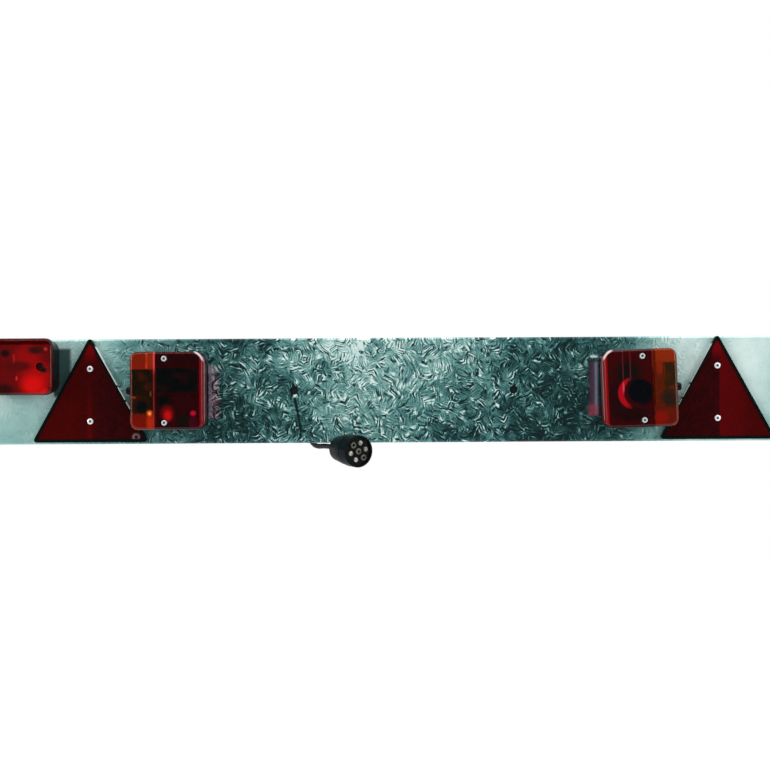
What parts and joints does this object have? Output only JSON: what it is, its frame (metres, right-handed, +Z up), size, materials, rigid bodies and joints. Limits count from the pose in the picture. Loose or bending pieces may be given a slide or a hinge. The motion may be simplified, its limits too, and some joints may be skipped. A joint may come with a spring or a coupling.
{
  "type": "trailer lighting board",
  "caption": "Folded galvanised board for the back of a trailer, with square rear lamps, triangle reflectors, a fog lamp and a cable with a round plug.",
  "frame": {"origin": "on the board's front face, midway between its two fixing holes", "axes": "+X along the board, -Y out of the front, the way the lamps shine, +Z up"},
  "size_m": [1.22, 0.1315, 0.1739],
  "materials": {
    "galvanised_sheet": "galvanised, with a feathery zinc spangle",
    "black_tray": "glossy black",
    "triangle_reflector": "deep red reflector",
    "rivet": "plain",
    "lamp_base": "moulded black",
    "seal": "matte",
    "red_lens": "clear red, ribbed inside",
    "amber_lens": "clear amber, ribbed inside",
    "lens_screw": "bright",
    "bulb_plate": "bright sheet",
    "bulb_socket": "plain",
    "bulb": "clear",
    "gland": "moulded black",
    "bolt": "zinc plated",
    "nut": "zinc plated",
    "fog_lens": "clear red, ribbed inside",
    "fog_reflector": "bright bowl",
    "grommet": "matte",
    "cable": "matte sheath",
    "clip": "moulded",
    "tie": "natural nylon",
    "plug_shell": "moulded, slight sheen",
    "plug_carrier": "moulded black",
    "contact": "nickel-plated",
    "boot": "matte"
  },
  "bodies": {
    "root": {"board": "galvanised_sheet", "triangle_back_left": "black_tray", "triangle_back_right": "black_tray", "triangle_reflector_left": "triangle_reflector", "triangle_reflector_right": "triangle_reflector", "triangle_rivets_left": "rivet", "triangle_rivets_right": "rivet", "lamp_base_left": "lamp_base", "lamp_base_right": "lamp_base", "lamp_seal_left": "seal", "lamp_seal_right": "seal", "red_lens_left": "red_lens", "red_lens_right": "red_lens", "amber_lens_left": "amber_lens", "amber_lens_right": "amber_lens", "lens_screws_left": "lens_screw", "lens_screws_right": "lens_screw", "bulb_plate_left": "bulb_plate", "bulb_plate_right": "bulb_plate", "bulb_sockets_left": "bulb_socket", "bulb_sockets_right": "bulb_socket", "stop_bulb_left": "bulb", "stop_bulb_right": "bulb", "indicator_bulb_left": "bulb", "indicator_bulb_right": "bulb", "side_gland_left": "gland", "side_gland_right": "gland", "lamp_bolts_left": "bolt", "lamp_bolts_right": "bolt", "lamp_nuts_left": "nut", "lamp_nuts_right": "nut", "fog_base": "lamp_base", "fog_seal": "seal", "fog_lens": "fog_lens", "fog_screws": "lens_screw", "fog_reflector": "fog_reflector", "fog_socket": "bulb_socket", "fog_bulb": "bulb", "fog_bolts": "bolt", "fog_nuts": "nut", "grommets": "grommet", "link_cable": "cable", "fog_cable": "cable", "cable_clips": "clip", "supply_lead": "cable", "supply_clamp": "clip", "free_lead": "cable", "cable_hank": "cable", "hank_ties": "tie", "cable_tail": "cable", "plug_shell": "plug_shell", "plug_carrier": "plug_carrier", "plug_pins": "contact", "plug_sleeves": "contact", "plug_gland": "gland", "plug_boot": "boot"}
  },
  "joints": []
}
